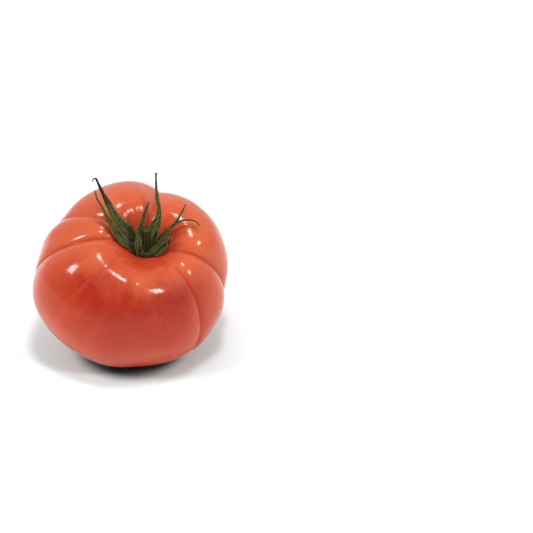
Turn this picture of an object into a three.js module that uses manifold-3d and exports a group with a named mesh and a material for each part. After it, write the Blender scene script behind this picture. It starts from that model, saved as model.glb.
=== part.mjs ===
// A ripe ribbed tomato, as picked: one red fruit, with its green calyx in the stem dimple.
// Millimetres, +Z up. The tomato rests on a small flat spot on its belly. Its stem end leans
// forward, towards -Y, and a little to the right, towards +X.
//
// The fruit and the calyx are both drawn about the stem axis: +Z runs out through the stem,
// the polar angle is measured from the stem end, and the azimuth runs round the axis from the
// right (0) over the back (90). The stem axis is then leaned into place.
import * as THREE from 'three';
import Module from 'manifold-3d';
import { mergeVertices } from 'three/addons/utils/BufferGeometryUtils.js';

// Pose on the table.
const LEAN_FORWARD = 28;
const LEAN_RIGHT = 13;
const CENTRE = new THREE.Vector3(2.6, 2.3, 35);
const FLAT_BLEND = 0.8;

// Body of the fruit: half heights along the axis, and how square its section is above and
// below the widest ring (2 is an ellipse).
const STEM_HALF_HEIGHT = 36.6;
const BLOSSOM_HALF_HEIGHT = 35;
const STEM_SQUARENESS = 2.25;
const BLOSSOM_SQUARENESS = 2.1;

// Radius of the widest ring at each azimuth in degrees.
const GIRTH = [
  [-150, 49.5],
  [-105, 46.8],
  [-75, 43.9],
  [-45, 44.6],
  [-20, 43.4],
  [30, 41.8],
  [60, 41.1],
  [100, 42.7],
  [132, 42.7],
  [150, 42.9],
  [175, 45.3],
];

// Broad swellings and hollows: the polar angle and azimuth of the middle, the height in
// millimetres, and how far it reaches in degrees along the polar angle and along the azimuth.
const SWELLINGS = [
  { polar: 48, azimuth: -92, height: 1.5, tall: 28, wide: 26 },
  { polar: 48, azimuth: -17, height: -0.6, tall: 24, wide: 13 },
  { polar: 44, azimuth: 38, height: 1.7, tall: 24, wide: 24 },
  { polar: 42, azimuth: 120, height: 0.6, tall: 24, wide: 24 },
  { polar: 55, azimuth: 178, height: -0.7, tall: 24, wide: 20 },
  { polar: 30, azimuth: 103, height: 1.2, tall: 12, wide: 16 },
  { polar: 30, azimuth: 128, height: 0.6, tall: 12, wide: 14 },
  { polar: 27, azimuth: 22, height: -1.2, tall: 12, wide: 20 },
  { polar: 44, azimuth: 14, height: 0.8, tall: 12, wide: 16 },
];

// Stem dimple: depth, width as a polar angle, and how flat its floor is.
const DIMPLE_DEPTH = 14.5;
const DIMPLE_WIDTH = 25;
const DIMPLE_FLATNESS = 3;
const DIMPLE_FLOOR = STEM_HALF_HEIGHT - DIMPLE_DEPTH;

// Creases between the ribs. A crease runs from the azimuth "shoulder" to the azimuth "belly",
// turning evenly between their two polar angles and a little past them. It is "depth" deep and
// "spread" degrees wide to each side, and dies out past the polar angle "fade", where the share
// "rest" of its depth is left.
const CREASES = [
  { shoulder: -173, belly: -170, depth: 3, spread: 26, fade: 78, rest: 0 },
  { shoulder: 177, belly: 178, depth: 0.6, spread: 18, fade: 75, rest: 0 },
  { shoulder: 159, belly: 160, depth: 2.9, spread: 24, fade: 80, rest: 0 },
  { shoulder: 86, belly: 82, depth: 3.3, spread: 30, fade: 90, rest: 0.3 },
  { shoulder: 86, belly: 86, depth: 1.6, spread: 16, fade: 38, rest: 0 },
  { shoulder: -2, belly: -2, depth: 3.5, spread: 24, fade: 92, rest: 0.2 },
  { shoulder: -35, belly: -41, depth: 2.6, spread: 36, fade: 88, rest: 0.05 },
  { shoulder: -134, belly: -134, depth: 0.5, spread: 20, fade: 70, rest: 0.1 },
  { shoulder: -95, belly: -95, depth: 0.6, spread: 20, fade: 80, rest: 0.2 },
];
const CREASE_START = 6;
const CREASE_RISE = 30;
const CREASE_FADE_SPAN = 50;
const SHOULDER_POLAR = 40;
const BELLY_POLAR = 90;
const TURN_BEFORE_SHOULDER = -0.6;
const TURN_PAST_BELLY = 2;
const BLOSSOM_FADE_START = 140;

// Mesh of the fruit: rings are closer together in the dimple than on the belly.
const FRUIT_SEGMENTS = 80;
const FRUIT_RINGS = 36;
const DIMPLE_RINGS = 12;
const DIMPLE_RING_STEP = 3.5;

// Sepals: centre lines from root to tip as x, y and height above the dimple floor, and the
// blade's width at the same points.
const SEPALS = [
  {
    line: [
      [-3, 0.5, 2.2], [-7.5, 2.6, 5.8], [-13, 5, 9.5], [-16.8, 7.4, 12.5], [-20, 10.8, 15],
      [-23.2, 14.4, 17.2], [-26, 18, 19], [-27.4, 20, 19.6], [-28.6, 20, 18.9],
      [-28.7, 19.2, 17.7],
    ],
    widths: [5, 6.5, 5.8, 4.4, 3, 2, 1.2, 0.9, 0.7, 0.6],
  },
  {
    line: [
      [-3.9, -2.5, 2.8], [-9, -2.3, 5.8], [-13.5, -0.4, 8.2], [-16.9, 2.2, 11.4],
      [-20, 5, 14.3], [-23, 8.2, 16.8], [-25.5, 10.3, 18.8], [-27, 13, 20.8],
    ],
    widths: [3.4, 3.2, 2.9, 2.6, 2.2, 1.8, 1.4, 1],
  },
  {
    line: [
      [-1.9, -4, 2.8], [-3.8, -1.9, 7.2], [-4.4, 2.3, 11.5], [-4, 5.2, 15.8],
      [-3.6, 8.4, 19.5], [-2.6, 12, 22],
    ],
    widths: [3.8, 3.7, 2.8, 2, 1.4, 0.9],
  },
  {
    line: [
      [2.1, 0.2, 1.6], [2.2, 3.8, 5.4], [2.4, 7, 9], [3.1, 10, 12.5], [2.6, 13.4, 15.5],
      [0.9, 17.2, 18], [-0.4, 20.7, 20.5], [-1.6, 25.5, 23], [-1.6, 26.8, 23.4],
    ],
    widths: [6, 6, 5, 3.2, 2, 1.7, 1.2, 0.9, 1.3],
  },
  {
    line: [
      [2.9, -2.7, 2.6], [5.4, 0, 4.8], [7.6, 3, 8.2], [9.5, 6.5, 12], [11.4, 9, 15.1],
      [12.8, 12.2, 17.6], [14, 16, 19.6],
    ],
    widths: [2.8, 2.5, 2.2, 1.9, 1.5, 1.2, 0.9],
  },
  {
    line: [
      [3.5, 0.7, 2], [6, 4.1, 5.5], [9.3, 8, 10], [12.4, 10.4, 12.3], [15.1, 11.5, 13.5],
      [18, 11.7, 14.1], [20.4, 11.3, 13.9], [21.9, 10.2, 12.9],
    ],
    widths: [2.6, 2.2, 1.5, 1, 0.85, 0.75, 0.65, 0.6],
  },
  {
    line: [
      [4.2, -1.8, 2], [6.9, -1.6, 4.4], [9.1, -0.3, 7], [10, 1.5, 9.4], [9.6, 2.8, 11.7],
    ],
    widths: [4, 4, 3.4, 2.4, 1.4],
  },
];
const BLADE_THICKNESS = 0.7;
const BLADE_ARCH = 0.22;
const BLADE_STATIONS = [-1, -0.5, 0, 0.5, 1];
const BLADE_STEPS_PER_POINT = 2;

// Stub of the stem, cut square across, with a shallow pit in the cut and ridges down its sides.
const STUB_LINE = [
  [0.4, -0.4, 2],
  [-0.4, 1.4, 7],
  [-1.4, 3.2, 13.5],
];
const STUB_RADIUS = 2;
const STUB_FLARE = 0.6;
const STUB_RIDGES = 5;
const STUB_RIDGE_HEIGHT = 0.15;
const STUB_SIDES = 20;
const STUB_STEPS = 8;
const PIT_RADIUS = 1.3;
const PIT_DEPTH = 0.8;

// Receptacle: the small cup that the sepals and the stub grow from. It follows the dimple's
// floor with a narrow gap.
const RECEPTACLE_ANGLE = 11.5;
const RECEPTACLE_STEPS = 5;
const RECEPTACLE_SIDES = 20;
const RECEPTACLE_GAP = 0.45;
const RECEPTACLE_TOP = [
  [4.9, 2.6],
  [3.6, 3.6],
];
const RECEPTACLE_CROWN = 4;

const radians = THREE.MathUtils.degToRad;
const degrees = THREE.MathUtils.radToDeg;

const smooth = (value) => THREE.MathUtils.smoothstep(value, 0, 1);

const wrapDegrees = (angle) => THREE.MathUtils.euclideanModulo(angle + 180, 360) - 180;

// Radius of the widest ring, eased from one listed azimuth to the next.
function girth(azimuth) {
  for (let i = 0; i < GIRTH.length; i += 1) {
    const [start, radius] = GIRTH[i];
    const [end, nextRadius] = GIRTH[(i + 1) % GIRTH.length];
    const span = THREE.MathUtils.euclideanModulo(end - start, 360);
    const travel = THREE.MathUtils.euclideanModulo(azimuth - start, 360);
    if (travel < span) {
      const share = (1 - Math.cos((Math.PI * travel) / span)) / 2;
      return THREE.MathUtils.lerp(radius, nextRadius, share);
    }
  }
  return GIRTH[0][1];
}

function creaseDepth(crease, polar, azimuth) {
  const travel = (polar - SHOULDER_POLAR) / (BELLY_POLAR - SHOULDER_POLAR);
  const turn = THREE.MathUtils.clamp(travel, TURN_BEFORE_SHOULDER, TURN_PAST_BELLY);
  const path = THREE.MathUtils.lerp(crease.shoulder, crease.belly, turn);
  const offset = Math.abs(wrapDegrees(azimuth - path)) / crease.spread;
  if (offset >= 1) return 0;
  const rise = smooth((polar - CREASE_START) / CREASE_RISE);
  const faded = smooth((polar - crease.fade) / CREASE_FADE_SPAN + 0.5);
  const kept = 1 - (1 - crease.rest) * faded;
  const blossomEnd = 1 - smooth((polar - BLOSSOM_FADE_START) / (180 - BLOSSOM_FADE_START));
  return crease.depth * rise * kept * blossomEnd * (1 - offset) ** 2;
}

function swellingHeight(swelling, polar, azimuth) {
  const down = (polar - swelling.polar) / swelling.tall;
  const round = wrapDegrees(azimuth - swelling.azimuth) / swelling.wide;
  return swelling.height * Math.exp(-(down ** 2) - round ** 2);
}

// Distance from the fruit's centre to its skin, by polar angle and azimuth in degrees.
function skinRadius(polar, azimuth) {
  const sine = Math.sin(radians(polar));
  const cosine = Math.cos(radians(polar));
  const power = cosine > 0 ? STEM_SQUARENESS : BLOSSOM_SQUARENESS;
  const halfHeight = cosine > 0 ? STEM_HALF_HEIGHT : BLOSSOM_HALF_HEIGHT;
  const across = (sine / girth(azimuth)) ** power;
  const along = (Math.abs(cosine) / halfHeight) ** power;
  let radius = (across + along) ** (-1 / power);
  radius -= DIMPLE_DEPTH * Math.exp(-((polar / DIMPLE_WIDTH) ** DIMPLE_FLATNESS));
  for (const swelling of SWELLINGS) {
    radius += swellingHeight(swelling, polar, azimuth);
  }
  for (const crease of CREASES) {
    radius -= creaseDepth(crease, polar, azimuth);
  }
  return radius;
}

// Flattens what would reach below the table, with a soft edge round the flat spot.
function settle(height) {
  if (height <= -FLAT_BLEND) return 0;
  if (height >= FLAT_BLEND) return height;
  return (height + FLAT_BLEND) ** 2 / (4 * FLAT_BLEND);
}

const lean = new THREE.Euler(radians(LEAN_FORWARD), radians(LEAN_RIGHT), 0, 'YXZ');

// Even ring angles of the ball, redrawn closer together in the dimple.
function ringAngle(evenPolar) {
  const ring = (evenPolar * FRUIT_RINGS) / 180;
  const dimpleEnd = DIMPLE_RINGS * DIMPLE_RING_STEP;
  if (ring <= DIMPLE_RINGS) return ring * DIMPLE_RING_STEP;
  const share = (ring - DIMPLE_RINGS) / (FRUIT_RINGS - DIMPLE_RINGS);
  return THREE.MathUtils.lerp(dimpleEnd, 180, share);
}

function fruitGeometry() {
  const ball = new THREE.SphereGeometry(1, FRUIT_SEGMENTS, FRUIT_RINGS);
  ball.rotateX(Math.PI / 2);
  ball.deleteAttribute('normal');
  ball.deleteAttribute('uv');
  const skin = mergeVertices(ball);
  const place = skin.getAttribute('position');
  const point = new THREE.Vector3();
  for (let i = 0; i < place.count; i += 1) {
    point.fromBufferAttribute(place, i);
    const polar = ringAngle(degrees(Math.acos(THREE.MathUtils.clamp(point.z, -1, 1))));
    const azimuth = degrees(Math.atan2(point.y, point.x));
    const reach = skinRadius(polar, azimuth);
    const outward = reach * Math.sin(radians(polar));
    point.set(
      outward * Math.cos(radians(azimuth)),
      outward * Math.sin(radians(azimuth)),
      reach * Math.cos(radians(polar)),
    );
    point.applyEuler(lean).add(CENTRE);
    place.setXYZ(i, point.x, point.y, settle(point.z));
  }
  skin.computeVertexNormals();
  return skin;
}

// A closed body through rings of equal length, with a point at each end.
function loft(start, rings, end) {
  const sides = rings[0].length;
  const points = [start, ...rings.flat(), end];
  const index = [];
  const at = (ring, side) => 1 + ring * sides + (side % sides);
  const last = points.length - 1;
  for (let side = 0; side < sides; side += 1) {
    index.push(0, at(0, side + 1), at(0, side));
    index.push(last, at(rings.length - 1, side), at(rings.length - 1, side + 1));
    for (let ring = 0; ring + 1 < rings.length; ring += 1) {
      index.push(at(ring, side), at(ring, side + 1), at(ring + 1, side + 1));
      index.push(at(ring, side), at(ring + 1, side + 1), at(ring + 1, side));
    }
  }
  const body = new THREE.BufferGeometry().setFromPoints(points);
  body.setIndex(index);
  return body;
}

const vectors = (rows) => rows.map((row) => new THREE.Vector3(...row));

const valueAlong = (values, share) => {
  const place = share * (values.length - 1);
  const i = Math.min(Math.floor(place), values.length - 2);
  return THREE.MathUtils.lerp(values[i], values[i + 1], place - i);
};

// A thin blade along its centre line, arched across so that its edges stand up.
function sepalGeometry({ line, widths }) {
  const curve = new THREE.CatmullRomCurve3(vectors(line), false, 'catmullrom', 0.5);
  const middle = curve.getPoint(0.5);
  const underside = new THREE.Vector3(middle.x, middle.y, 0).normalize();
  const inward = new THREE.Vector3(0, 0, 1).addScaledVector(underside, -1).normalize();
  const steps = (line.length - 1) * BLADE_STEPS_PER_POINT;
  const rings = [];
  for (let step = 0; step <= steps; step += 1) {
    const share = step / steps;
    const centre = curve.getPoint(share);
    const along = curve.getTangent(share);
    const across = new THREE.Vector3().crossVectors(along, inward).normalize();
    const up = new THREE.Vector3().crossVectors(across, along).normalize();
    const width = valueAlong(widths, share);
    const edge = (station, side) => centre.clone()
      .addScaledVector(across, (station * width) / 2)
      .addScaledVector(up, BLADE_ARCH * width * station ** 2 + (side * BLADE_THICKNESS) / 2);
    const top = BLADE_STATIONS.map((station) => edge(station, 1));
    const bottom = BLADE_STATIONS.map((station) => edge(-station, -1));
    rings.push([...top, ...bottom]);
  }
  return loft(curve.getPoint(0), rings, curve.getPoint(1));
}

// One ring of the stub, square to the stub's centre line.
function stubRing(curve, share, radius) {
  const centre = curve.getPoint(share);
  const along = curve.getTangent(share);
  const across = new THREE.Vector3(1, 0, 0).addScaledVector(along, -along.x).normalize();
  const back = new THREE.Vector3().crossVectors(along, across);
  return Array.from({ length: STUB_SIDES }, (_, side) => {
    const turn = (2 * Math.PI * side) / STUB_SIDES;
    const reach = radius + STUB_RIDGE_HEIGHT * Math.cos(STUB_RIDGES * turn);
    return centre.clone()
      .addScaledVector(across, reach * Math.cos(turn))
      .addScaledVector(back, reach * Math.sin(turn));
  });
}

function stubGeometry() {
  const curve = new THREE.CatmullRomCurve3(vectors(STUB_LINE), false, 'catmullrom', 0.5);
  const rings = [];
  for (let step = 0; step <= STUB_STEPS; step += 1) {
    const share = step / STUB_STEPS;
    rings.push(stubRing(curve, share, STUB_RADIUS + STUB_FLARE * (1 - share) ** 2));
  }
  rings.push(stubRing(curve, 1, PIT_RADIUS));
  const pitFloor = curve.getPoint(1).addScaledVector(curve.getTangent(1), -PIT_DEPTH);
  return loft(curve.getPoint(0), rings, pitFloor);
}

function receptacleGeometry() {
  const azimuths = Array.from({ length: RECEPTACLE_SIDES }, (_, i) => (360 * i) / RECEPTACLE_SIDES);
  const ring = (radius, height) => azimuths.map((azimuth) => new THREE.Vector3(
    radius * Math.cos(radians(azimuth)),
    radius * Math.sin(radians(azimuth)),
    height,
  ));
  const rings = [];
  for (let step = 1; step <= RECEPTACLE_STEPS; step += 1) {
    const polar = (RECEPTACLE_ANGLE * step) / RECEPTACLE_STEPS;
    const highest = Math.max(...azimuths.map((azimuth) => skinRadius(polar, azimuth)));
    const reach = highest + RECEPTACLE_GAP;
    const height = reach * Math.cos(radians(polar)) - DIMPLE_FLOOR;
    rings.push(ring(reach * Math.sin(radians(polar)), height));
  }
  for (const [radius, height] of RECEPTACLE_TOP) {
    rings.push(ring(radius, height));
  }
  const bottom = new THREE.Vector3(0, 0, RECEPTACLE_GAP);
  const crown = new THREE.Vector3(0, 0, RECEPTACLE_CROWN);
  return loft(bottom, rings, crown);
}

const manifold = await Module();
manifold.setup();

function toSolid(geometry) {
  const mesh = new manifold.Mesh({
    numProp: 3,
    vertProperties: new Float32Array(geometry.getAttribute('position').array),
    triVerts: new Uint32Array(geometry.getIndex().array),
  });
  return new manifold.Manifold(mesh);
}

function joined(geometries) {
  const [first, ...others] = geometries.map(toSolid);
  const whole = others.reduce((solid, other) => solid.add(other), first);
  const mesh = whole.getMesh();
  const body = new THREE.BufferGeometry();
  body.setAttribute('position', new THREE.BufferAttribute(mesh.vertProperties, mesh.numProp));
  body.setIndex(new THREE.BufferAttribute(mesh.triVerts, 1));
  body.computeVertexNormals();
  return body;
}

const fruitSkin = new THREE.MeshStandardMaterial({ color: 0xd5492f, roughness: 0.32, metalness: 0 });
const calyxGreen = new THREE.MeshStandardMaterial({ color: 0x47562c, roughness: 0.8, metalness: 0 });

const fruit = new THREE.Mesh(fruitGeometry(), fruitSkin);
fruit.name = 'fruit';

const calyxParts = [receptacleGeometry(), stubGeometry(), ...SEPALS.map(sepalGeometry)];
const calyx = new THREE.Mesh(joined(calyxParts), calyxGreen);
calyx.name = 'calyx';
calyx.position.z = DIMPLE_FLOOR;

// The calyx is drawn upright on the dimple's floor, and the stem end carries it into the lean.
const stemEnd = new THREE.Group();
stemEnd.position.copy(CENTRE);
stemEnd.rotation.copy(lean);
stemEnd.add(calyx);

const tomato = new THREE.Group();
tomato.add(fruit, stemEnd);

export default tomato;
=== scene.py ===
"""A ripe ribbed tomato as picked: glossy red fruit, green calyx with seven sepals and a cut stem.

Lengths are millimetres in the row frame until a mesh is made, which is in metres.
The fruit and the calyx are drawn about the stem axis and then leaned into place.
"""

import math

import bpy
import numpy as np
from mathutils import Euler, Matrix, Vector


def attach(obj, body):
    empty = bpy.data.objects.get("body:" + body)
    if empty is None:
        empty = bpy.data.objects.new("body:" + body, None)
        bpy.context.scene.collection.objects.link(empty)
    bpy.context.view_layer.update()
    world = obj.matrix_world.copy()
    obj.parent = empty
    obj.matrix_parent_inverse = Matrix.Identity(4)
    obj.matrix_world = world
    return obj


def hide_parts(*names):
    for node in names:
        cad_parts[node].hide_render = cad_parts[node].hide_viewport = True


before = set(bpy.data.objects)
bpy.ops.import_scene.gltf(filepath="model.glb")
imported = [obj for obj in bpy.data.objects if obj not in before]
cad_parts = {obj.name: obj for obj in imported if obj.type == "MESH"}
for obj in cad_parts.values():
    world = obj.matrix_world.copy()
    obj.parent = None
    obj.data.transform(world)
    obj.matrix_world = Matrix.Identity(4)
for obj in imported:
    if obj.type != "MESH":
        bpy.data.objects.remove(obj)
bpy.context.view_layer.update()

MM = 0.001
BODY = "root"

# Pose of the fruit on the table, in degrees and millimetres, and the soft edge of its flat spot.
LEAN_FORWARD = 28
LEAN_RIGHT = 13
CENTRE = np.array([2.6, 2.3, 35.0])
FLAT_BLEND = 0.8
LEAN = np.array(Euler((math.radians(LEAN_FORWARD), math.radians(LEAN_RIGHT), 0)).to_matrix())

# Body of the fruit: its two half heights and how square each is, and the radius of its widest
# ring by azimuth.
STEM_HALF_HEIGHT = 36.6
BLOSSOM_HALF_HEIGHT = 35.0
STEM_SQUARENESS = 2.25
BLOSSOM_SQUARENESS = 2.1
GIRTH = [
    (-150, 49.5), (-105, 46.8), (-75, 43.9), (-45, 44.6), (-20, 43.4), (30, 41.8),
    (60, 41.1), (100, 42.7), (132, 42.7), (150, 42.9), (175, 45.3),
]
# Broad swellings and hollows: polar angle, azimuth, height, and their two widths in degrees.
SWELLINGS = [
    (48, -92, 1.5, 28, 26), (48, -17, -0.6, 24, 13), (44, 38, 1.7, 24, 24),
    (42, 120, 0.6, 24, 24), (55, 178, -0.7, 24, 20), (30, 103, 1.2, 12, 16),
    (30, 128, 0.6, 12, 14), (27, 22, -1.2, 12, 20), (44, 14, 0.8, 12, 16),
]
# Dimple at the stem end: depth in millimetres, width in degrees and how flat its floor is.
DIMPLE_DEPTH = 14.5
DIMPLE_WIDTH = 25
DIMPLE_FLATNESS = 3
DIMPLE_FLOOR = STEM_HALF_HEIGHT - DIMPLE_DEPTH

# Creases between the ribs. The valley has its azimuths at the shoulder and on the belly, its depth
# in millimetres, its half width in degrees, the polar angle about which it dies out and the share
# that is left. The tight fold in the middle of the valley has its depth in millimetres, the side
# on which its steep wall stands and the polar angle about which it ends.
CREASES = [
    {"shoulder": -173, "belly": -170, "depth": 3.0, "spread": 26, "fade": 78, "rest": 0.0,
     "fold": 0.9, "steep": -1, "fold_end": 92},
    {"shoulder": 177, "belly": 178, "depth": 0.6, "spread": 18, "fade": 75, "rest": 0.0,
     "fold": 0.0, "steep": 1, "fold_end": 80},
    {"shoulder": 159, "belly": 160, "depth": 2.9, "spread": 24, "fade": 80, "rest": 0.0,
     "fold": 0.4, "steep": -1, "fold_end": 88},
    {"shoulder": 86, "belly": 82, "depth": 3.3, "spread": 30, "fade": 90, "rest": 0.3,
     "fold": 0.15, "steep": 1, "fold_end": 96},
    {"shoulder": 86, "belly": 86, "depth": 1.6, "spread": 16, "fade": 38, "rest": 0.0,
     "fold": 0.0, "steep": 1, "fold_end": 60},
    {"shoulder": -2, "belly": -2, "depth": 3.5, "spread": 24, "fade": 92, "rest": 0.2,
     "fold": 0.8, "steep": 1, "fold_end": 104},
    {"shoulder": -35, "belly": -41, "depth": 2.6, "spread": 36, "fade": 88, "rest": 0.05,
     "fold": 0.7, "steep": 1, "fold_end": 120},
    {"shoulder": -134, "belly": -134, "depth": 0.5, "spread": 20, "fade": 70, "rest": 0.1,
     "fold": 0.0, "steep": 1, "fold_end": 80},
    {"shoulder": -95, "belly": -95, "depth": 0.6, "spread": 20, "fade": 80, "rest": 0.2,
     "fold": 0.0, "steep": 1, "fold_end": 80},
]
# Polar angle where the valleys begin, how soon they are full and how slowly they die out, and
# where the last of them fade at the blossom end.
CREASE_START = 6
CREASE_RISE = 30
CREASE_FADE_SPAN = 50
BLOSSOM_FADE_START = 140
BLOSSOM_FADE_SPAN = 40
# Polar angles of the shoulder and the belly, and how far a crease runs on past them, as shares of
# the way from one to the other.
SHOULDER_POLAR = 40
BELLY_POLAR = 90
CREASE_ENDS = (-0.6, 2)
# Widths of a fold's two walls in millimetres, the rounding of its bottom, and in degrees where it
# begins, how soon it is full, how slowly it ends and how far from its middle it is drawn.
FOLD_STEEP_WIDTH = 0.8
FOLD_GENTLE_WIDTH = 2.2
FOLD_ROUNDING = 0.02
FOLD_START = 14
FOLD_RISE = 22
FOLD_FADE_SPAN = 40
FOLD_REACH = 40

# Fruit mesh: rings from the stem end, and columns that crowd into the folds.
DIMPLE_END = 48
DIMPLE_RING_STEP = 0.6
BELLY_RING_STEP = 0.9
LAST_RING = 179.99
FRUIT_COLUMNS = 400
COLUMN_START = -60
COLUMN_SAMPLES = 1441
COLUMN_CROWD = 4
COLUMN_CROWD_WIDTH = 2

# Faint waviness of the skin: its height in millimetres and the least and most pace of a wave.
SWELL_SEED = 11
SWELL_WAVES = 14
SWELL_HEIGHT = 0.05
SWELL_PACE = (5, 15)
# Fine wrinkles round the dimple: how many go round, with their phase and share, and the polar
# angles at which they begin and end, each with its span.
WRINKLE_HEIGHT = 0.03
WRINKLES = [(31, 1.3, 1.0), (47, 0.4, 0.7), (19, 0.0, 0.5)]
WRINKLE_RISE = (12, 8)
WRINKLE_FADE = (24, 20)

# Sepals: centre lines from root to tip (x, y and height above the dimple floor), blade widths at
# the same points, twist of the tip in degrees and how dark the blade is beyond its root, partly
# its own colour and partly painted shade.
SEPALS = {
    "sepal_left_broad": {
        "line": [(-3, 0.5, 2.2), (-7.5, 2.6, 5.8), (-13, 5, 9.5), (-16.8, 7.4, 12.5),
                 (-20, 10.8, 15), (-23.2, 14.4, 17.2), (-26, 18, 19), (-27.4, 20, 19.6),
                 (-28.6, 20, 18.9), (-28.7, 19.2, 17.7)],
        "widths": [5, 6.5, 5.8, 4.4, 3, 2, 1.2, 0.9, 0.7, 0.6], "twist": 30, "dark": 1.0},
    "sepal_left_narrow": {
        "line": [(-3.9, -2.5, 2.8), (-9, -2.3, 5.8), (-13.5, -0.4, 8.2), (-16.9, 2.2, 11.4),
                 (-20, 5, 14.3), (-23, 8.2, 16.8), (-25.5, 10.3, 18.8), (-27, 13, 20.8)],
        "widths": [3.4, 3.2, 2.9, 2.6, 2.2, 1.8, 1.4, 1], "twist": -20, "dark": 0.2},
    "sepal_front": {
        "line": [(-1.9, -4, 2.8), (-3.8, -1.9, 7.2), (-4.4, 2.3, 11.5), (-4, 5.2, 15.8),
                 (-3.6, 8.4, 19.5), (-2.6, 12, 22)],
        "widths": [3.8, 3.7, 2.8, 2, 1.4, 0.9], "twist": 20, "dark": 0.4},
    "sepal_back_tall": {
        "line": [(2.1, 0.2, 1.6), (2.2, 3.8, 5.4), (2.4, 7, 9), (3.1, 10, 12.5),
                 (2.6, 13.4, 15.5), (0.9, 17.2, 18), (-0.4, 20.7, 20.5), (-1.6, 25.5, 23),
                 (-1.6, 26.8, 23.4)],
        "widths": [6, 6, 5, 3.2, 2, 1.7, 1.2, 0.9, 1.3], "twist": -40, "dark": 0.3},
    "sepal_right": {
        "line": [(2.9, -2.7, 2.6), (5.4, 0, 4.8), (7.6, 3, 8.2), (9.5, 6.5, 12),
                 (11.4, 9, 15.1), (12.8, 12.2, 17.6), (14, 16, 19.6)],
        "widths": [2.8, 2.5, 2.2, 1.9, 1.5, 1.2, 0.9], "twist": 30, "dark": 0.5},
    "sepal_right_curled": {
        "line": [(3.5, 0.7, 2), (6, 4.1, 5.5), (9.3, 8, 10), (12.4, 10.4, 12.3),
                 (15.1, 11.5, 13.5), (18, 11.7, 14.1), (20.4, 11.3, 13.9), (21.9, 10.2, 12.9)],
        "widths": [2.6, 2.2, 1.5, 1, 0.85, 0.75, 0.65, 0.6], "twist": 60, "dark": 0.6},
    "sepal_right_bent": {
        "line": [(4.2, -1.8, 2), (6.9, -1.6, 4.4), (9.1, -0.3, 7), (10, 1.5, 9.4),
                 (9.6, 2.8, 11.7)],
        "widths": [4, 4, 3.4, 2.4, 1.4], "twist": 50, "dark": 0.8},
}
# Blades: thickness in millimetres, arch as a share of the width, points across and along them,
# how far the tip runs out, and the share of the length at which the twist begins.
BLADE_THICKNESS = 0.55
BLADE_ARCH = 0.22
BLADE_STATIONS = 13
BLADE_STEPS_PER_POINT = 8
BLADE_TIP = 0.2
TWIST_START = 0.3
# A narrow stretch is thinner: the least share of the thickness, and what a full width adds to it.
NARROW_THICKNESS = 0.45
WIDTH_THICKNESS = 0.5
FULL_WIDTH = 3
EDGE_THINNING = 0.6
# Relief in millimetres; the midrib's width and the veins' pitch are shares of the half width.
RIB_HEIGHT = 0.16
RIB_WIDTH = 0.13
VEIN_HEIGHT = 0.06
VEIN_PITCH = 3.5
# Waves along a blade: two in its margin and two in its ruffle.
WAVE_PACES = (23, 41, 17, 37)
MARGIN_WAVE = 0.07
RUFFLE_WAVE = 0.12
RUFFLE_SECOND = 0.6
# Where a blade turns dark along it, partly painted shade, and pale at its edge, each with its
# span, and the step that gives each blade stripes of its own.
DARK_RISE = (0.3, 0.25)
EDGE_RISE = (0.7, 0.25)
STRIPE_STEP = 2

# Stub of the stem: centre line in the same axes, and sizes in millimetres.
STUB_LINE = [(0.4, -0.4, 2), (-0.4, 1.4, 7), (-1.4, 3.2, 13.5)]
STUB_RADIUS = 2.0
STUB_FLARE = 0.6
STUB_WAVE = 0.05
STUB_RIDGES = 7
STUB_RIDGE_HEIGHT = 0.16
STUB_FINE_RIDGES = 0.4
STUB_RAGGEDNESS = 0.12
STUB_DARK = 0.6
STUB_SIDES = 84
STUB_STEPS = 40
PIT_RADIUS = 1.3
PIT_DEPTH = 0.9
PIT_BOTTOM = 0.85
# Cut face from the rim into the pit: radius, rise, share of the ridges and how dry and brown.
CUT_FACE = [
    (STUB_RADIUS - 0.12, 0.08, 0.8, 0.80),
    (PIT_RADIUS + 0.15, -0.02, 0.4, 0.86),
    (PIT_RADIUS - 0.05, -0.3, 0.3, 1),
    (PIT_RADIUS * 0.7, -PIT_DEPTH * 0.9, 0.2, 1),
    (PIT_RADIUS * 0.35, -PIT_DEPTH * 0.8, 0.1, 1),
]

# Cup that the sepals and the stub grow from: how far it follows the dimple, in degrees, its gap
# over the skin, and the radius and height of each ring of its top.
CUP_ANGLE = 11.5
CUP_GAP = 0.45
CUP_SIDES = 96
CUP_RINGS = 8
CUP_TOP = [(4.9, 2.6), (4.3, 3.3), (3.4, 3.5), (2.6, 3.2)]
CUP_SAG = 0.2
CUP_LOBES = 7
CUP_LOBE_REACH = 0.25
CUP_LOBE_HEIGHT = 0.35
CUP_BROWN = 0.72
CUP_DARK = 0.5

# Hairs: sizes in millimetres, where each narrows and to what share, and how far it bends.
HAIR_SEED = 5
HAIR_RADIUS = 0.035
HAIR_LENGTHS = (0.35, 0.8)
HAIR_KNEE = 0.55
HAIR_TAPER = 0.6
HAIR_BEND = 0.12
# Hairs on a blade: where across it they grow, how strongly they gather at its edges, the height of
# their roots as a share of its thickness, and how much they lift, lean to the tip and stray.
HAIRS_PER_MM = 5
HAIR_STATIONS = (0.1, 1)
HAIR_GATHERING = 0.4
HAIR_ROOT = 0.15
HAIR_LIFT = 0.6
HAIR_SLANT = 0.5
HAIR_SPREAD = 0.25
STUB_HAIRS = 260
STUB_HAIR_LENGTHS = (0.3, 0.7)
STUB_HAIR_SLANT = 0.3

# Camera: where the photograph has the fruit's centre, and how large it shows a millimetre.
FRAME_SIZE = 533
CENTRE_PIXEL = (137, 273)
PIXELS_PER_MM = 2.18
VIEW_ELEVATION = 33
VIEW_DISTANCE = 900
SENSOR_WIDTH = 36

# Room, in metres: the floor, which lies just under the fruit and ends in front of it.
FLOOR_SIZE = 30
FLOOR_FRONT = -0.30
FLOOR_DROP = 0.0001
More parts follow.
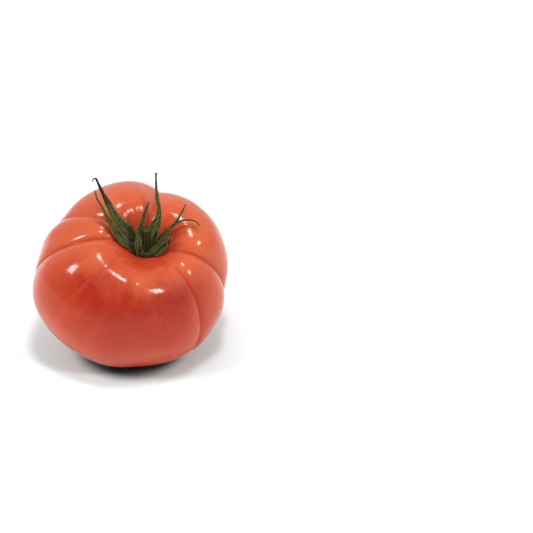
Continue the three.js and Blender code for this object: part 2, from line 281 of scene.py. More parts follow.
# Middle of the contact shadow painted on the floor, and where it begins and ends to lighten,
# in metres.
CONTACT_CENTRE = (-0.001, -0.007, 0.0)
CONTACT_SHADOW_EDGE = (0.0195, 0.0285)
# Where the painted shade round the fruit, darker and cool, begins and ends to turn white.
NEAR_SHADE_EDGE = (0.038, 0.065)

# Azimuth, elevation, width and height in metres, and power of each softbox.
SOFTBOXES = {
    "softbox_left": (-66, 40, (0.21, 0.22), 5.4),
    "softbox_right": (50, 40, (0.13, 0.19), 4.0),
    "softbox_top": (22, 78, (0.14, 0.21), 4.1),
}
LIGHT_DISTANCE = 1.0
# Level of the sky overhead and towards each side, with a glow low in front. The overhead part
# begins and is full, and the glow fades and is gone, at these heights on a sky of radius 1.
SKY = {"top": 0.64, "back": 1.22, "front": 0.03, "left": 0.74, "right": 1.1, "glow": 1.15}
SKY_CAP = (0.60, 0.88)
SKY_GLOW = (-0.05, 0.30)
# Keeps the share of each side a number straight overhead, where there is no side.
LEAST_FLAT = 0.0001

# Colours, as linear red, green and blue.
ORANGE_SKIN = (0.55, 0.110, 0.042)
# Deep red of the ripe fruit, darkened as painted shade for the front of the fruit.
RED_AND_SHADE_SKIN = (0.28, 0.012, 0.007)
# Darker red: painted shade in the dimple.
DIMPLE_SHADE_SKIN = (0.44, 0.044, 0.016)
BELLY_SKIN = (0.51, 0.047, 0.007)
PALE_SKIN = (0.66, 0.13, 0.040)
SPECK_SKIN = (0.66, 0.12, 0.04)
# Darker red: painted shade in the folds.
FOLD_SHADE_SKIN = (0.40, 0.018, 0.004)
DEEP_GREEN = (0.014, 0.015, 0.003)
LEAF_GREEN = (0.078, 0.084, 0.014)
VEIN_GREEN = (0.19, 0.185, 0.060)
EDGE_GREEN = (0.24, 0.22, 0.10)
# Near black: painted shade on the blades, roots and stub, and the dark flecks.
SHADE_AND_FLECK_GREEN = (0.005, 0.005, 0.002)
DRY_BROWN = (0.07, 0.045, 0.018)
HAIR_GREEN = (0.14, 0.16, 0.06)
HAIR_PALE = (0.34, 0.34, 0.20)
FLOOR_FAR = (0.94, 0.94, 0.94)
# Painted shade round the fruit, cool against the red light that the fruit throws on the floor, and
# the painted contact shadow.
FLOOR_NEAR_SHADE = (0.71, 0.815, 0.825)
FLOOR_CONTACT_SHADOW = (0.07, 0.10, 0.10)


def smooth(value):
    value = np.clip(value, 0, 1)
    return value * value * (3 - 2 * value)


def ramp(value, start, span):
    """0 up to the start, 1 past the span, and a smooth step from one to the other."""
    return smooth((value - start) / span)


def wrap_degrees(angle):
    return (angle + 180) % 360 - 180


def girth(azimuth):
    """Radius of the widest ring, eased from one listed azimuth to the next."""
    radius = np.zeros_like(azimuth)
    for i, (start, here) in enumerate(GIRTH):
        end, there = GIRTH[(i + 1) % len(GIRTH)]
        span = (end - start) % 360
        travel = (azimuth - start) % 360
        share = (1 - np.cos(np.pi * travel / span)) / 2
        radius = np.where(travel < span, here + (there - here) * share, radius)
    return radius


def crease_path(crease, polar):
    """Azimuth of a crease's middle at a polar angle."""
    turn = (polar - SHOULDER_POLAR) / (BELLY_POLAR - SHOULDER_POLAR)
    turn = np.clip(turn, *CREASE_ENDS)
    return crease["shoulder"] + (crease["belly"] - crease["shoulder"]) * turn


def crease_depth(crease, polar, azimuth):
    """Depth of a crease's broad valley in millimetres."""
    offset = np.abs(wrap_degrees(azimuth - crease_path(crease, polar))) / crease["spread"]
    rise = ramp(polar, CREASE_START, CREASE_RISE)
    faded = smooth((polar - crease["fade"]) / CREASE_FADE_SPAN + 0.5)
    kept = 1 - (1 - crease["rest"]) * faded
    blossom_end = 1 - ramp(polar, BLOSSOM_FADE_START, BLOSSOM_FADE_SPAN)
    return crease["depth"] * rise * kept * blossom_end * np.clip(1 - offset, 0, 1) ** 2


def form_radius(polar, azimuth):
    """Distance from the fruit's centre to its skin, without the fine relief."""
    sine = np.sin(np.radians(polar))
    cosine = np.cos(np.radians(polar))
    power = np.where(cosine > 0, STEM_SQUARENESS, BLOSSOM_SQUARENESS)
    half_height = np.where(cosine > 0, STEM_HALF_HEIGHT, BLOSSOM_HALF_HEIGHT)
    around = (sine / girth(azimuth)) ** power + (np.abs(cosine) / half_height) ** power
    radius = around ** (-1 / power)
    radius = radius - DIMPLE_DEPTH * np.exp(-((polar / DIMPLE_WIDTH) ** DIMPLE_FLATNESS))
    for place, towards, height, tall, wide in SWELLINGS:
        across = wrap_degrees(azimuth - towards) / wide
        radius = radius + height * np.exp(-((polar - place) / tall) ** 2 - across ** 2)
    for crease in CREASES:
        radius = radius - crease_depth(crease, polar, azimuth)
    return radius


def stem_direction(polar, azimuth):
    """Directions from the fruit's centre, with the stem end upward."""
    polar, azimuth = np.radians(polar), np.radians(azimuth)
    flat = np.sin(polar)
    return np.stack([flat * np.cos(azimuth), flat * np.sin(azimuth), np.cos(polar)], -1)


def fold_shape(crease, polar, azimuth, radius):
    """Tight fold in a crease, from 0 to 1, steep on the side where the rib bulges over."""
    offset = wrap_degrees(azimuth - crease_path(crease, polar)) * crease["steep"]
    reach = np.radians(offset) * radius * np.sin(np.radians(polar))
    width = np.where(reach > 0, FOLD_STEEP_WIDTH, FOLD_GENTLE_WIDTH)
    shape = np.exp(-np.sqrt((reach / width) ** 2 + FOLD_ROUNDING) + math.sqrt(FOLD_ROUNDING))
    begin = ramp(polar, FOLD_START, FOLD_RISE)
    past = polar - crease["fold_end"] + FOLD_FADE_SPAN / 2
    end = 1 - smooth(past / FOLD_FADE_SPAN)
    return shape * begin * end * (np.abs(offset) < FOLD_REACH)


def skin_relief(polar, azimuth, radius):
    """Fine relief on the form, in millimetres outward, and how deep in a fold each point is."""
    relief = np.zeros_like(radius)
    fold = np.zeros_like(radius)
    for crease in CREASES:
        shape = fold_shape(crease, polar, azimuth, radius)
        relief = relief - crease["fold"] * shape
        fold = np.maximum(fold, shape * min(crease["fold"], 1))
    draw = np.random.default_rng(SWELL_SEED)
    direction = stem_direction(polar, azimuth)
    for _ in range(SWELL_WAVES):
        axis = draw.normal(size=3)
        pace = draw.uniform(*SWELL_PACE) / np.linalg.norm(axis)
        phase = draw.uniform(0, 2 * math.pi)
        relief = relief + SWELL_HEIGHT * np.sin(pace * (direction @ axis) + phase) / 2
    ring = np.radians(azimuth)
    ripple = sum(share * np.sin(count * ring + phase) for count, phase, share in WRINKLES)
    window = ramp(polar, *WRINKLE_RISE) * (1 - ramp(polar, *WRINKLE_FADE))
    relief = relief + WRINKLE_HEIGHT * ripple * window / 2
    return relief, fold


def settle(height):
    """Flattens what would reach below the table, with a soft edge round the flat spot."""
    eased = (height + FLAT_BLEND) ** 2 / (4 * FLAT_BLEND)
    return np.where(height <= -FLAT_BLEND, 0, np.where(height >= FLAT_BLEND, height, eased))


def lean(points):
    """Puts points drawn about an upright stem axis where the leaning fruit has them."""
    return np.asarray(points) @ LEAN.T + CENTRE


def lean_calyx(points):
    """The same for points whose heights are above the dimple floor."""
    return lean(np.array(points) + (0, 0, DIMPLE_FLOOR))


def mesh_piece(name, points, faces, material, values=None):
    """A mesh object from points in millimetres in the row frame, with named point values."""
    mesh = bpy.data.meshes.new(name)
    mesh.from_pydata((np.asarray(points) * MM).tolist(), [], faces)
    mesh.materials.append(material)
    for key, numbers in (values or {}).items():
        layer = mesh.attributes.new(key, "FLOAT", "POINT")
        layer.data.foreach_set("value", np.asarray(numbers, dtype=np.float32).ravel())
    mesh.shade_smooth()
    mesh.update()
    piece = bpy.data.objects.new(name, mesh)
    bpy.context.scene.collection.objects.link(piece)
    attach(piece, BODY)
    return piece


def loft_faces(rings, sides):
    """Faces of a body through rings of points, with one point before and one after them."""
    faces = []
    last = rings * sides + 1
    base = 1 + (rings - 1) * sides
    for side in range(sides):
        after = (side + 1) % sides
        faces.append((0, 1 + after, 1 + side))
        faces.append((last, base + side, base + after))
        for ring in range(rings - 1):
            low = 1 + ring * sides
            high = low + sides
            faces.append((low + side, low + after, high + after, high + side))
    return faces


class Value:
    """A number in a shader: a node's output, with arithmetic that adds Math nodes."""

    def __init__(self, finish, socket):
        self.finish = finish
        self.socket = socket

    def math(self, operation, *others):
        return self.finish.node("ShaderNodeMath", {"operation": operation},
                                dict(enumerate((self, *others))))

    def reflected(self, operation, first):
        return self.finish.node("ShaderNodeMath", {"operation": operation}, {0: first, 1: self})

    def __add__(self, other):
        return self.math("ADD", other)

    __radd__ = __add__

    def __mul__(self, other):
        return self.math("MULTIPLY", other)

    __rmul__ = __mul__

    def __sub__(self, other):
        return self.math("SUBTRACT", other)

    def __rsub__(self, other):
        return self.reflected("SUBTRACT", other)

    def __truediv__(self, other):
        return self.math("DIVIDE", other)

    def __rtruediv__(self, other):
        return self.reflected("DIVIDE", other)

    def __pow__(self, other):
        return self.math("POWER", other)

    def __rpow__(self, other):
        return self.reflected("POWER", other)

    def between(self, low, high):
        """0 below low, 1 above high, and a smooth step from one to the other."""
        return self.finish.node("ShaderNodeMapRange", {"interpolation_type": "SMOOTHSTEP"},
                                {"Value": self, "From Min": low, "From Max": high})


class Finish:
    """A material or world whose nodes are written as expressions."""

    def __init__(self, owner):
        self.owner = owner
        owner.use_nodes = True
        self.tree = owner.node_tree
        self.tree.nodes.clear()

    def node(self, kind, settings=None, inputs=None, output=0):
        """A new node: its settings first, then the values or links of its sockets."""
        made = self.tree.nodes.new(kind)
        for key, setting in (settings or {}).items():
            setattr(made, key, setting)
        for key, value in (inputs or {}).items():
            socket = made.inputs[key]
            if isinstance(value, Value):
                self.tree.links.new(value.socket, socket)
            else:
                socket.default_value = value
        return None if output is None else Value(self, made.outputs[output])

    def place(self):
        return self.node("ShaderNodeTexCoord", output="Object")

    def stored(self, name):
        return self.node("ShaderNodeAttribute", {"attribute_name": name}, output="Fac")

    def noise(self, where, scale, detail=2.0, roughness=0.5):
        return self.node("ShaderNodeTexNoise", None,
                         {"Vector": where, "Scale": scale, "Detail": detail,
                          "Roughness": roughness})

    def mix(self, share, first, second):
        """A colour between two colours; a plain colour is three numbers."""
        colours = [c if isinstance(c, Value) else (*c, 1) for c in (first, second)]
        return self.node("ShaderNodeMix", {"data_type": "RGBA", "blend_type": "MIX"},
                         {0: share, 6: colours[0], 7: colours[1]}, output=2)

    def surface(self, constants, varying):
        """Ends the material with one Principled shader."""
        shader = self.node("ShaderNodeBsdfPrincipled", None, {**constants, **varying})
        self.node("ShaderNodeOutputMaterial", None, {"Surface": shader}, output=None)
        return self.owner


def fruit_skin_material():
    """Waxy skin: orange towards the stem, deeper red in front as painted shade, brighter on the
    belly, painted shade in the dimple and the folds, fine streaks from stem to blossom and pale
    specks.
    Polar is 0 at the stem end and 1 at the other."""
    finish = Finish(bpy.data.materials.new("fruit_skin"))
    where = finish.place()
    polar = finish.stored("polar")
    fold = finish.stored("fold")
    round_x, round_y = finish.stored("round_x"), finish.stored("round_y")
    streak_place = finish.node("ShaderNodeCombineXYZ", None, {
        "X": round_x * 6,
        "Y": round_y * 6,
        "Z": polar * 2.5,
    })
    streaks = finish.noise(streak_place, 1.0)
    clouds = finish.noise(where, 55.0, 3.0)
    grain = finish.noise(where, 900.0, 3.0, 0.7)
    ripe = (polar + (clouds - 0.5) * 0.25 + (streaks - 0.5) * 0.1).between(0.09, 0.30)
    # Deeper red weighted to the front: painted shade; orange towards the stem is the fruit's own
    # colour.
    front = 1 - round_y.between(-0.85, -0.1)
    skin = finish.mix(ripe * (front * 0.7 + 0.3), ORANGE_SKIN, RED_AND_SHADE_SKIN)
    belly = (polar + (clouds - 0.5) * 0.1).between(0.24, 0.56)
    skin = finish.mix(belly * (front * 0.65 + 0.3), skin, BELLY_SKIN)
    # Painted shade in the dimple.
    skin = finish.mix((polar + (streaks - 0.5) * 0.06).between(0.11, 0.21), DIMPLE_SHADE_SKIN, skin)
    skin = finish.mix(streaks.between(0.5, 0.8) * 0.10, skin, PALE_SKIN)
    skin = finish.mix(grain.between(0.48, 0.74) * 0.18, skin, PALE_SKIN)
    cells = finish.node("ShaderNodeTexVoronoi", {"feature": "F1"},
                        {"Vector": where, "Scale": 850.0, "Randomness": 1.0}, output="Distance")
    specks = (1 - cells.between(0.10, 0.22)) * clouds.between(0.35, 0.6)
    skin = finish.mix(specks * 0.10, skin, SPECK_SKIN)
    # Painted shade in the folds.
    skin = finish.mix(fold.between(0.25, 1.0) * 0.55, skin, FOLD_SHADE_SKIN)
    roughness = 0.15 + (grain - 0.5) * 0.08 + specks * 0.06
    bump = finish.node("ShaderNodeBump", None, {
        "Strength": 0.08,
        "Distance": 0.0004,
        "Height": grain * 0.6 + finish.noise(where, 260.0, 2.0) * 1.4 - specks * 0.4,
    })
    return finish.surface(
        {"IOR": 1.34, "Specular Tint": (1.0, 0.93, 0.86, 1), "Subsurface Weight": 0.15,
         "Subsurface Radius": (1.0, 0.22, 0.1), "Subsurface Scale": 0.004},
        {"Base Color": skin, "Roughness": roughness, "Normal": bump})


def calyx_material():
    """Dark green plant tissue, striped along the blade, with pale veins and edges, dark flecks and
    dry brown tips, painted shade at the roots, and darker far parts of the blades that are
    partly their own colour and partly painted shade."""
    finish = Finish(bpy.data.materials.new("calyx_green"))
    where = finish.place()
    tip = finish.stored("tip")
    rib = finish.stored("rib")
    dark = finish.stored("dark")
    edge = finish.stored("edge")
    stripe_place = finish.node("ShaderNodeCombineXYZ", None, {
        "X": finish.stored("side") * 5,
        "Y": tip * 7,
        "Z": dark,
    })
    stripes = finish.noise(stripe_place, 1.0, 3.0, 0.6)
    patches = finish.noise(where, 420.0, 4.0, 0.6)
    fibre = finish.noise(where, 1500.0, 2.0)
    flecks = finish.noise(where, 1100.0, 2.0, 0.6)
    blend = (stripes * 0.7 + patches * 0.3).between(0.40, 0.60)
    green = finish.mix(blend, DEEP_GREEN, LEAF_GREEN)
    green = finish.mix(rib * 0.35, green, VEIN_GREEN)
    green = finish.mix(fibre.between(0.52, 0.66) * 0.45, green, VEIN_GREEN)
    # Darker far part of a blade, and darker stub and cup: partly their own colour, partly painted
    # shade.
    green = finish.mix(dark * patches.between(0.12, 0.5) * 0.9, green, SHADE_AND_FLECK_GREEN)
    # Painted shade at the roots of the blades and on the stub.
    root = 1 - tip.between(0.02, 0.34)
    green = finish.mix(root * flecks.between(0.38, 0.60) * 0.65, green, SHADE_AND_FLECK_GREEN)
    green = finish.mix((1 - flecks.between(0.34, 0.46)) * 0.6, green, SHADE_AND_FLECK_GREEN)
    green = finish.mix((tip + (patches - 0.5) * 0.25).between(0.82, 1.0), green, DRY_BROWN)
    green = finish.mix(edge * flecks.between(0.35, 0.65) * 0.65, green, EDGE_GREEN)
    bump = finish.node("ShaderNodeBump", None, {
        "Strength": 0.5, "Distance": 0.0003, "Height": patches + fibre * 0.5})
    return finish.surface(
        {"IOR": 1.4, "Specular IOR Level": 0.2},
        {"Base Color": green, "Roughness": 0.6 + (fibre - 0.5) * 0.3, "Normal": bump})


def hair_material():
    finish = Finish(bpy.data.materials.new("calyx_hairs"))
    shade = finish.noise(finish.place(), 700.0)
    colour = finish.mix(shade.between(0.3, 0.7), HAIR_GREEN, HAIR_PALE)
    return finish.surface({"IOR": 1.4}, {"Base Color": colour, "Roughness": 0.55})


def floor_material():
    """White floor with painted shadow: darker and cool round the fruit, the cool tint against the
    red light that the fruit throws on it, and dark where the fruit touches it.
    """
    finish = Finish(bpy.data.materials.new("white_floor"))
    place = finish.place()
    away = finish.node("ShaderNodeVectorMath", {"operation": "DISTANCE"},
                       {0: place, 1: CONTACT_CENTRE}, output="Value")
    away = away + (finish.noise(place, 40.0) - 0.5) * 0.003
    # Painted shade round the fruit, cool against the red light that the fruit throws on the floor.
    colour = finish.mix(away.between(*NEAR_SHADE_EDGE), FLOOR_NEAR_SHADE, FLOOR_FAR)
    # Painted contact shadow where the fruit touches the floor.
    colour = finish.mix(away.between(*CONTACT_SHADOW_EDGE), FLOOR_CONTACT_SHADOW, colour)
    return finish.surface({"Specular IOR Level": 0.1}, {"Base Color": colour, "Roughness": 0.9})


def column_azimuths(polar):
    """Azimuths of the columns on one ring, closer together in the folds."""
    even = COLUMN_START + np.linspace(0, 360, COLUMN_SAMPLES)
    crowd = np.ones_like(even)
    for crease in CREASES:
        if crease["fold"] > 0:
            offset = wrap_degrees(even - crease_path(crease, polar))
            crowd += COLUMN_CROWD * np.exp(-(offset / COLUMN_CROWD_WIDTH) ** 2)
    total = np.concatenate([[0], np.cumsum((crowd[1:] + crowd[:-1]) / 2)])
    wanted = np.linspace(0, total[-1], FRUIT_COLUMNS, endpoint=False)
    return np.interp(wanted, total, even)


def build_fruit(material):
    """Skin of the whole fruit, with the values that its finish reads at each point."""
    polars = np.concatenate([np.arange(DIMPLE_RING_STEP, DIMPLE_END, DIMPLE_RING_STEP),
                             np.arange(DIMPLE_END, LAST_RING, BELLY_RING_STEP)])
    azimuth = np.concatenate([[0], *[column_azimuths(polar) for polar in polars], [0]])
    polar = np.concatenate([[0], np.repeat(polars, FRUIT_COLUMNS), [180]])
    radius = form_radius(polar, azimuth)
    relief, fold = skin_relief(polar, azimuth, radius)
    direction = stem_direction(polar, azimuth)
    points = lean(direction * (radius + relief)[:, None])
    points[:, 2] = settle(points[:, 2])
    values = {
        "polar": polar / 180,
        "fold": fold,
        "round_x": np.cos(np.radians(azimuth)),
        "round_y": np.sin(np.radians(azimuth)),
    }
    faces = loft_faces(len(polars), FRUIT_COLUMNS)
    piece = mesh_piece("fruit_skin", points, [face[::-1] for face in faces], material, values)
    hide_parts("fruit")


def unit(vectors):
    return vectors / np.linalg.norm(vectors, axis=-1, keepdims=True)


def spline(line, steps):
    """Points and directions along a Catmull-Rom curve through the listed points."""
    line = np.array(line, dtype=float)
    line = np.vstack([2 * line[0] - line[1], line, 2 * line[-1] - line[-2]])
    spans = len(line) - 3
    share = np.linspace(0, spans, steps + 1)
    span = np.minimum(share.astype(int), spans - 1)
    t = (share - span)[:, None]
    a, b, c, d = (line[span + k] for k in range(4))
    points = 0.5 * (2 * b + (c - a) * t + (2 * a - 5 * b + 4 * c - d) * t ** 2
                    + (3 * b - a - 3 * c + d) * t ** 3)
    return points, unit(np.gradient(points, axis=0))


def sepal_frame(spec, steps):
    """Centres, the directions along, across and up, and the widths of one blade.

    Its upper face looks up and in towards the stem before the tip is twisted.
    """
    centres, along = spline(spec["line"], steps)
    middle = centres[len(centres) // 2] * (1, 1, 0)
    inward = unit(np.array([0, 0, 1.0]) - unit(middle))
    across = unit(np.cross(along, inward))
    up = np.cross(across, along)
    share = np.linspace(0, 1, steps + 1)
    turn = np.radians(spec["twist"]) * ramp(share, TWIST_START, 1 - TWIST_START)
    twisted = across * np.cos(turn)[:, None] + up * np.sin(turn)[:, None]
    up = np.cross(twisted, along)
    places = np.linspace(0, 1, len(spec["widths"]))
    return centres, along, twisted, up, np.interp(share, places, spec["widths"])


def build_sepal(name, spec, material, seed):
    """One blade with its midrib, veins and wavy margin."""
    draw = np.random.default_rng(seed)
    steps = (len(spec["line"]) - 1) * BLADE_STEPS_PER_POINT
    centres, along, across, up, widths = sepal_frame(spec, steps)
    share = np.linspace(0, 1, steps + 1)
    stations = np.linspace(-1, 1, BLADE_STATIONS)
    phases = draw.uniform(0, 2 * math.pi, size=len(WAVE_PACES))
    waves = [np.sin(pace * share + phase) for pace, phase in zip(WAVE_PACES, phases)]
    margin = 1 + MARGIN_WAVE * (waves[0] + waves[1])
    ruffle = RUFFLE_WAVE * (waves[2] + RUFFLE_SECOND * waves[3])
    points, tip, rib, dark, rim, across_blade = [], [], [], [], [], []
    for i in range(steps + 1):
        half = widths[i] * margin[i] / 2
        thin = min(1, NARROW_THICKNESS + WIDTH_THICKNESS * widths[i] / FULL_WIDTH)
        for side in (1, -1):
            for station in stations[::side]:
                ridge = math.exp(-(station / RIB_WIDTH) ** 2)
                vein = math.cos(station * VEIN_PITCH * math.pi) * VEIN_HEIGHT * min(1, half / 2)
                edge = 1 - station ** 4 * EDGE_THINNING
                lift = BLADE_ARCH * widths[i] * station ** 2 + ruffle[i] * station * half / 2
                body = side * BLADE_THICKNESS / 2 * thin * edge
                bulge = vein if side > 0 else -vein - RIB_HEIGHT * ridge
                height = lift + body + bulge * min(1, half)
                points.append(centres[i] + across[i] * station * half + up[i] * height)
                tip.append(share[i])
                rib.append(ridge)
                dark.append(spec["dark"] * ramp(share[i], *DARK_RISE))
                rim.append(ramp(abs(station), *EDGE_RISE))
                across_blade.append(station + STRIPE_STEP * seed)
    start = centres[0]
    end = centres[-1] + along[-1] * BLADE_TIP
    points = [start, *points, end]
    values = {"tip": [0, *tip, 1], "rib": [0, *rib, 0], "dark": [0, *dark, spec["dark"]],
              "edge": [0, *rim, 0], "side": [0, *across_blade, 0]}
    faces = loft_faces(steps + 1, 2 * BLADE_STATIONS)
    piece = mesh_piece(name, lean_calyx(points), faces, material, values)
    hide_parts("calyx")


def build_stub(material):
    """Ridged stub of the stem with a ragged rim and a pit in its cut face."""
    centres, along = spline(STUB_LINE, STUB_STEPS)
    across = unit(np.array([1.0, 0, 0]) - along * along[:, :1])
    back = np.cross(along, across)
    turn = np.linspace(0, 2 * math.pi, STUB_SIDES, endpoint=False)
    share = np.linspace(0, 1, STUB_STEPS + 1)
    ridges = np.cos(STUB_RIDGES * turn) + STUB_FINE_RIDGES * np.cos(2 * STUB_RIDGES * turn + 1)

    def ring(i, radius, rise=0.0, ridged=1.0):
        reach = radius + ridged * STUB_RIDGE_HEIGHT * ridges
        return (centres[i] + rise * along[i] + reach[:, None]
                * (np.cos(turn)[:, None] * across[i] + np.sin(turn)[:, None] * back[i]))

    rings = []
    for i in range(STUB_STEPS + 1):
        flare = STUB_FLARE * (1 - share[i]) ** 2
        rings.append(ring(i, STUB_RADIUS + flare + STUB_WAVE * math.sin(9 * share[i])))
    rings += [ring(-1, radius, rise, ridged) for radius, rise, ridged, _ in CUT_FACE]
    ragged = STUB_RAGGEDNESS * np.sin(5 * turn + 1)[:, None] * along[-1]
    for rim in (STUB_STEPS, STUB_STEPS + 1):
        rings[rim] = rings[rim] + ragged
    pit = centres[-1] - along[-1] * PIT_DEPTH * PIT_BOTTOM
    points = [centres[0], *np.concatenate(rings), pit]
    count = len(rings)
    tip = np.repeat([0] * (STUB_STEPS + 1) + [brown for *_, brown in CUT_FACE], STUB_SIDES)
    rib = np.tile(np.clip(ridges, 0, 1), count)
    dark = np.full(len(points), STUB_DARK)
    round_stub = [0, *np.tile(np.sin(2 * turn), count), 0]
    values = {"tip": [0, *tip, 1], "rib": [0, *rib, 0], "dark": dark, "edge": 0 * dark,
              "side": round_stub}
    faces = loft_faces(count, STUB_SIDES)
    piece = mesh_piece("stem_stub", lean_calyx(points), faces, material, values)
    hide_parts("calyx")


def build_cup(material):
    """Cup in the dimple: it follows the fruit underneath, and its rim dips between the sepals."""
    turn = np.linspace(0, 2 * math.pi, CUP_SIDES, endpoint=False)
    azimuth = np.degrees(turn)
    steps = np.linspace(0, CUP_ANGLE, CUP_RINGS + 1)[1:]
    rings = []
    for polar in steps:
        highest = form_radius(np.full_like(azimuth, polar), azimuth).max()
        reach = (highest + CUP_GAP) * np.sin(np.radians(polar))
        height = (highest + CUP_GAP) * np.cos(np.radians(polar)) - DIMPLE_FLOOR
        rings.append((np.full_like(turn, reach), np.full_like(turn, height)))
    lobes = np.cos(CUP_LOBES * turn + 0.6)
    for k, (radius, height) in enumerate(CUP_TOP):
        swing = 1 - k / len(CUP_TOP)
        reach = radius + CUP_LOBE_REACH * lobes * swing
        rings.append((reach, height + CUP_LOBE_HEIGHT * lobes * swing))
    points = [(0, 0, CUP_GAP)]
    for reach, height in rings:
        points.extend(zip(reach * np.cos(turn), reach * np.sin(turn), height))
    points.append((0, 0, CUP_TOP[-1][1] - CUP_SAG))
    tip = np.full(len(points), CUP_BROWN)
    round_cup = [0, *np.tile(np.sin(3 * turn), len(rings)), 0]
    values = {"tip": tip, "rib": 0 * tip, "dark": 0 * tip + CUP_DARK, "edge": 0 * tip,
              "side": round_cup}
    faces = loft_faces(len(rings), CUP_SIDES)
    piece = mesh_piece("calyx_cup", lean_calyx(points), faces, material, values)
    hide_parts("calyx")


def hair(root, outward, length, bend):
    """Points and faces of one three-sided tapering hair."""
    side = unit(np.cross(outward, (0.3, 0.5, 0.8)))
    other = np.cross(outward, side)
    points = []
    for share, radius in ((0, HAIR_RADIUS), (HAIR_KNEE, HAIR_RADIUS * HAIR_TAPER)):
        centre = root + outward * length * share + bend * share ** 2
        for k in range(3):
            angle = 2 * math.pi * k / 3
            points.append(centre + radius * (side * math.cos(angle) + other * math.sin(angle)))
    points.append(root + outward * length + bend)
    faces = [(0, 2, 1), (0, 1, 4, 3), (1, 2, 5, 4), (2, 0, 3, 5), (3, 4, 6), (4, 5, 6), (5, 3, 6)]
    return points, faces


def build_hairs(material):
    """Short hairs that stand off the blades, most of them at the edges, and off the stub."""
    draw = np.random.default_rng(HAIR_SEED)
    points, faces = [], []

    def add(root, outward, length):
        bend = draw.normal(size=3) * HAIR_BEND * length
        new_points, new_faces = hair(root, unit(outward), length, bend)
        faces.extend(tuple(k + len(points) for k in face) for face in new_faces)
        points.extend(new_points)

    for spec in SEPALS.values():
        steps = (len(spec["line"]) - 1) * BLADE_STEPS_PER_POINT
        centres, along, across, up, widths = sepal_frame(spec, steps)
        length = np.linalg.norm(np.diff(centres, axis=0), axis=1).sum()
        for _ in range(int(length * HAIRS_PER_MM)):
            i = draw.integers(steps // 8, steps)
            station = draw.choice([-1, 1]) * draw.uniform(*HAIR_STATIONS) ** HAIR_GATHERING
            side = draw.choice([-1, 1])
            edge = across[i] * station * widths[i] / 2
            height = BLADE_ARCH * widths[i] * station ** 2 + side * BLADE_THICKNESS * HAIR_ROOT
            outward = across[i] * station * abs(station) + up[i] * side * HAIR_LIFT
            outward = outward + along[i] * HAIR_SLANT + draw.normal(size=3) * HAIR_SPREAD
            add(centres[i] + edge + up[i] * height, outward, draw.uniform(*HAIR_LENGTHS))
    centres, along = spline(STUB_LINE, STUB_STEPS)
    for _ in range(STUB_HAIRS):
        i = draw.integers(STUB_STEPS // 4, STUB_STEPS)
        outward = unit(np.cross(along[i], draw.normal(size=3)))
        root = centres[i] + outward * STUB_RADIUS
        add(root, outward + along[i] * STUB_HAIR_SLANT, draw.uniform(*STUB_HAIR_LENGTHS))
    piece = mesh_piece("calyx_hairs", lean_calyx(points), faces, material)


def make_camera():
    """Camera straight in front, looking down at the fruit from far off."""
    elevation = math.radians(VIEW_ELEVATION)
    up = np.array([0, math.sin(elevation), math.cos(elevation)])
    forward = np.array([0, math.cos(elevation), -math.sin(elevation)])
    middle = FRAME_SIZE / 2
    aside = (middle - CENTRE_PIXEL[0]) / PIXELS_PER_MM
    above = (CENTRE_PIXEL[1] - middle) / PIXELS_PER_MM
    place = CENTRE + np.array([aside, 0, 0]) + up * above - forward * VIEW_DISTANCE
    data = bpy.data.cameras.new("camera")
    data.sensor_width = SENSOR_WIDTH
    data.lens = SENSOR_WIDTH * PIXELS_PER_MM * VIEW_DISTANCE / FRAME_SIZE
    data.clip_start = 0.05
    data.clip_end = 100
    camera = bpy.data.objects.new("camera", data)
    camera.location = place * MM
    camera.rotation_euler = (math.radians(90 - VIEW_ELEVATION), 0, 0)
    bpy.context.scene.collection.objects.link(camera)
    bpy.context.scene.camera = camera


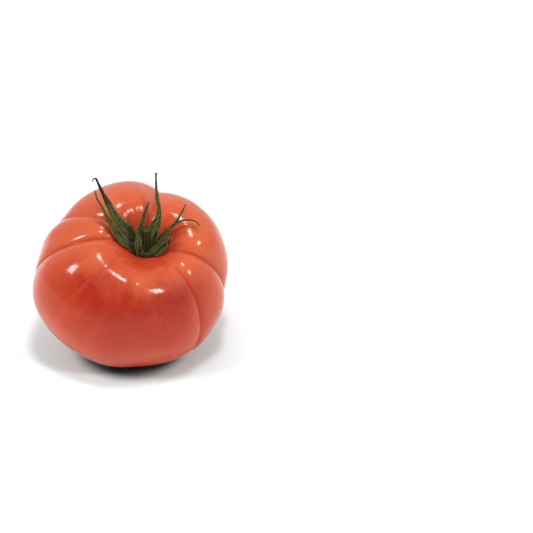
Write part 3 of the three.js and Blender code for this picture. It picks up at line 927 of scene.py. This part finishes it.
def softbox(name, azimuth, elevation, size, power):
    """A rectangular light that faces the fruit; azimuth 0 is the front and 90 the right."""
    azimuth, elevation = math.radians(azimuth), math.radians(elevation)
    direction = Vector((math.sin(azimuth) * math.cos(elevation),
                        -math.cos(azimuth) * math.cos(elevation), math.sin(elevation)))
    data = bpy.data.lights.new(name, "AREA")
    data.shape = "RECTANGLE"
    data.size, data.size_y = size
    data.energy = power
    lamp = bpy.data.objects.new(name, data)
    lamp.location = Vector(CENTRE * MM) + direction * LIGHT_DISTANCE
    lamp.rotation_euler = direction.to_track_quat("Z", "Y").to_euler()
    bpy.context.scene.collection.objects.link(lamp)


def make_room():
    """White floor, three softboxes and the sky round them."""
    floor = bpy.data.meshes.new("floor")
    half = FLOOR_SIZE / 2
    floor.from_pydata([(-half, FLOOR_FRONT, 0), (half, FLOOR_FRONT, 0), (half, half, 0),
                       (-half, half, 0)], [], [(0, 1, 2, 3)])
    floor.materials.append(floor_material())
    stage = bpy.data.objects.new("floor", floor)
    stage.location.z = -FLOOR_DROP
    bpy.context.scene.collection.objects.link(stage)

    for name, (azimuth, elevation, size, power) in SOFTBOXES.items():
        softbox(name, azimuth, elevation, size, power)
    make_sky()


def make_sky():
    """Bright overhead, with a level of its own towards each side; the camera sees plain white."""
    world = bpy.data.worlds.new("studio")
    bpy.context.scene.world = world
    sky = Finish(world)
    direction = sky.node("ShaderNodeTexCoord", output="Generated")
    x, y, z = (sky.node("ShaderNodeSeparateXYZ", None, {0: direction}, axis) for axis in "XYZ")
    flat = x * x + y * y + LEAST_FLAT
    front = (1 - z.between(*SKY_GLOW)) * SKY["glow"] + SKY["front"]
    sides = 0
    for level, part in ((SKY["right"], x), (SKY["left"], x * -1), (SKY["back"], y),
                        (front, y * -1)):
        share = part.math("MAXIMUM", 0) ** 2 / flat
        sides = share * level + sides
    overhead = z.between(*SKY_CAP)
    strength = overhead * SKY["top"] + (1 - overhead) * sides
    seen = sky.node("ShaderNodeLightPath", output="Is Camera Ray")
    strength = strength * (1 - seen) + seen
    background = sky.node("ShaderNodeBackground", None, {"Strength": strength})
    sky.node("ShaderNodeOutputWorld", None, {"Surface": background}, output=None)


make_camera()
build_fruit(fruit_skin_material())
green = calyx_material()
build_cup(green)
build_stub(green)
for seed, (sepal_name, sepal) in enumerate(SEPALS.items()):
    build_sepal(sepal_name, sepal, green, seed)
build_hairs(hair_material())
make_room()
bpy.context.scene.view_settings.view_transform = "Standard"
